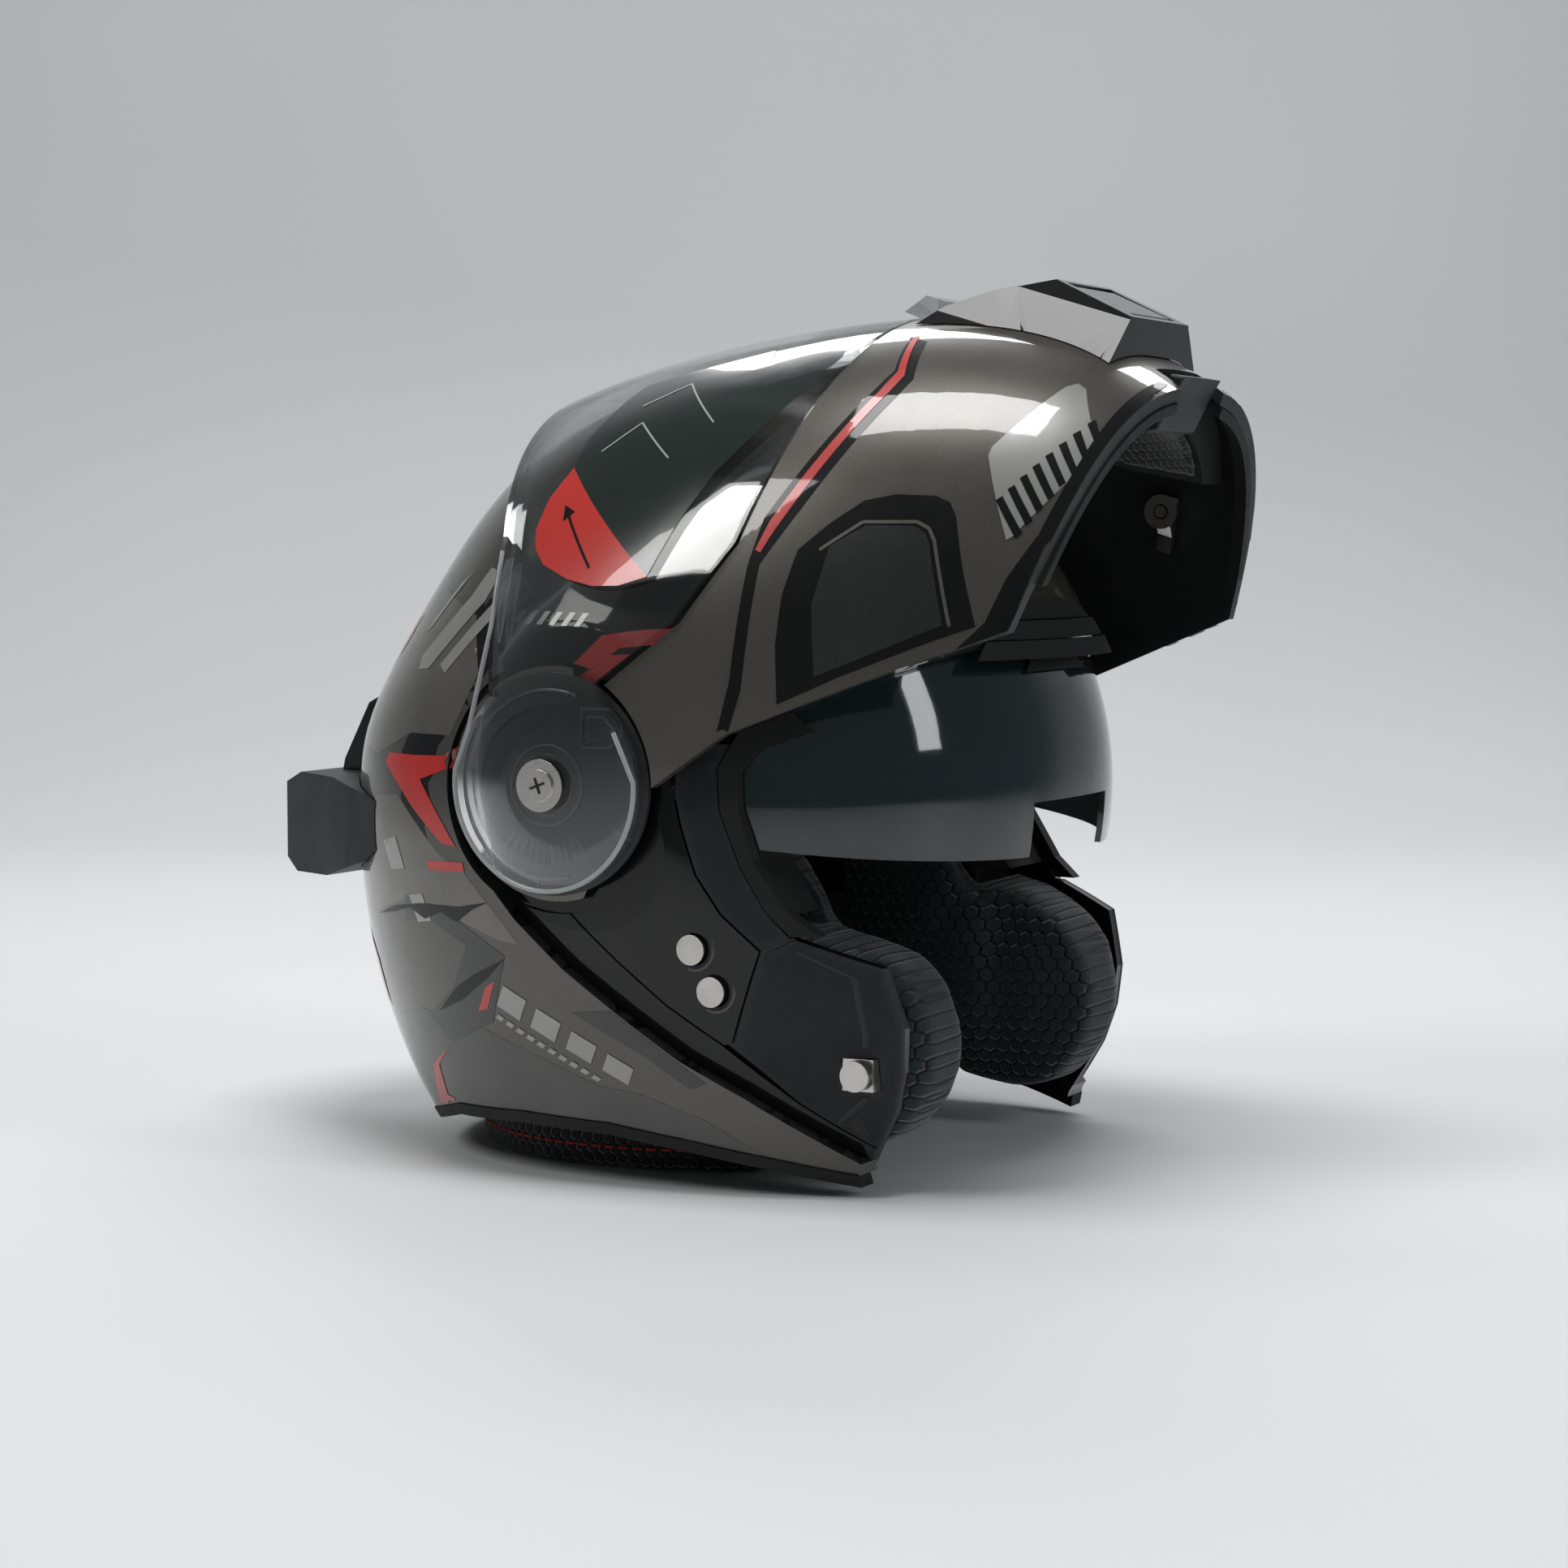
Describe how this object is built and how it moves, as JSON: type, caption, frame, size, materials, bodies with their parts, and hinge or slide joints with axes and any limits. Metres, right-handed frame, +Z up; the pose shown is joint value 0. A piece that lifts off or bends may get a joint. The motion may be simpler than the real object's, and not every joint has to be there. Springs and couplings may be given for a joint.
{
  "type": "motorcycle helmet",
  "caption": "Flip-up motorcycle helmet with a raised chin bar, a clear face shield, an inner sun visor, a padded lining and a chin strap.",
  "frame": {"origin": "centre of the surface that the helmet rests on, midway along its length with the chin bar raised", "axes": "+X forward, +Y to the wearer's left, +Z up"},
  "size_m": [0.3362, 0.2584, 0.2867],
  "materials": {
    "shell_paint": "gloss metallic graphite paint with graphics",
    "chin_paint": "gloss metallic graphite paint with graphics",
    "gloss_black": "gloss black",
    "matte_black": "fine-grained matte black",
    "rubber_black": "soft black rubber",
    "steel": "satin steel",
    "eps": "black expanded foam",
    "comfort_fabric": "perforated black fabric",
    "cheek_fabric": "black fabric with a cell pattern",
    "neck_fabric": "black mesh fabric with red stitching",
    "webbing": "woven black webbing",
    "clear_shield": "clear polycarbonate",
    "smoked_visor": "smoked polycarbonate",
    "ratchet_plastic": "moulded dark grey",
    "red_plastic": "red"
  },
  "bodies": {
    "helmet": {"brow_trim": "rubber_black", "buckle_housing": "matte_black", "buckle_tongue": "steel", "cheek_pad_left": "cheek_fabric", "cheek_pad_right": "cheek_fabric", "cheek_plate_left": "matte_black", "cheek_plate_right": "matte_black", "chin_strap_left": "webbing", "chin_strap_right": "webbing", "crown_pad": "comfort_fabric", "edge_strip_left": "gloss_black", "edge_strip_right": "gloss_black", "eps_liner": "eps", "eyeport_gasket": "rubber_black", "eyeport_surround_left": "matte_black", "eyeport_surround_right": "matte_black", "lower_trim": "rubber_black", "neck_roll": "neck_fabric", "outer_shell": "shell_paint", "side_plate_left": "gloss_black", "side_plate_right": "gloss_black", "side_studs": "steel", "slider_track": "matte_black", "spoiler_base": "gloss_black", "spoiler_wing": "matte_black", "strap_anchors": "steel", "striker_pins": "steel", "visor_pins": "steel"},
    "chin_bar": {"chin_bar_shell": "chin_paint", "chin_liner": "eps", "chin_curtain": "comfort_fabric", "chin_edging": "rubber_black", "vent_housing": "gloss_black", "hinge_pins": "steel", "hook_pins": "steel", "ratchet_plate_right": "ratchet_plastic", "ratchet_plate_left": "ratchet_plastic"},
    "face_shield": {"face_shield": "clear_shield", "shield_screws": "steel"},
    "sun_visor": {"sun_visor": "smoked_visor"},
    "visor_slider": {"visor_slider": "matte_black"},
    "release_lever": {"release_lever": "matte_black"},
    "latch_hook_right": {"latch_hook_right": "steel"},
    "latch_hook_left": {"latch_hook_left": "steel"},
    "vent_flap": {"vent_flap": "gloss_black"},
    "buckle_lever": {"buckle_lever": "red_plastic"}
  },
  "joints": [
    {"name": "chin_bar_hinge", "type": "hinge", "parent": "helmet", "child": "chin_bar", "pos_m": [-0.00208, 0, 0.128], "axis": [0, -1, 0], "range_deg": [-73, 0]},
    {"name": "shield_hinge", "type": "hinge", "parent": "chin_bar", "child": "face_shield", "pos_m": [-0.00208, 0, 0.128], "axis": [0, -1, 0], "range_deg": [0, 45]},
    {"name": "sun_visor_hinge", "type": "hinge", "parent": "helmet", "child": "sun_visor", "pos_m": [0.01392, 0, 0.122], "axis": [0, -1, 0], "range_deg": [0, 38]},
    {"name": "visor_slider_slide", "type": "slide", "parent": "helmet", "child": "visor_slider", "axis": [1, 0, 0], "range_m": [0, 0.02]},
    {"name": "release_lever_hinge", "type": "hinge", "parent": "chin_bar", "child": "release_lever", "pos_m": [0.15675, 0, 0.24048], "axis": [0, 1, 0], "range_deg": [0, 14], "stiffness_Nm_per_rad": 0.12, "springref_deg": -20.05},
    {"name": "latch_hook_right_hinge", "type": "hinge", "parent": "chin_bar", "child": "latch_hook_right", "pos_m": [0.1204, 0, 0.21395], "axis": [0, 1, 0], "range_deg": [0, 8]},
    {"name": "latch_hook_left_hinge", "type": "hinge", "parent": "chin_bar", "child": "latch_hook_left", "pos_m": [0.1204, 0, 0.21395], "axis": [0, 1, 0], "range_deg": [0, 8]},
    {"name": "vent_flap_hinge", "type": "hinge", "parent": "chin_bar", "child": "vent_flap", "pos_m": [0.13057, 0, 0.28142], "axis": [0, -1, 0], "range_deg": [0, 18]},
    {"name": "buckle_lever_hinge", "type": "hinge", "parent": "helmet", "child": "buckle_lever", "pos_m": [-0.00208, -0.03, 0.0195], "axis": [1, 0, 0], "range_deg": [0, 35], "stiffness_Nm_per_rad": 0.004, "springref_deg": -17.19}
  ],
  "couplings": [
    {"joint": "visor_slider_slide", "follows": "sun_visor_hinge", "m_per_rad": 0.0301},
    {"joint": "latch_hook_right_hinge", "follows": "release_lever_hinge", "ratio": 0.571},
    {"joint": "latch_hook_left_hinge", "follows": "release_lever_hinge", "ratio": 0.571}
  ]
}
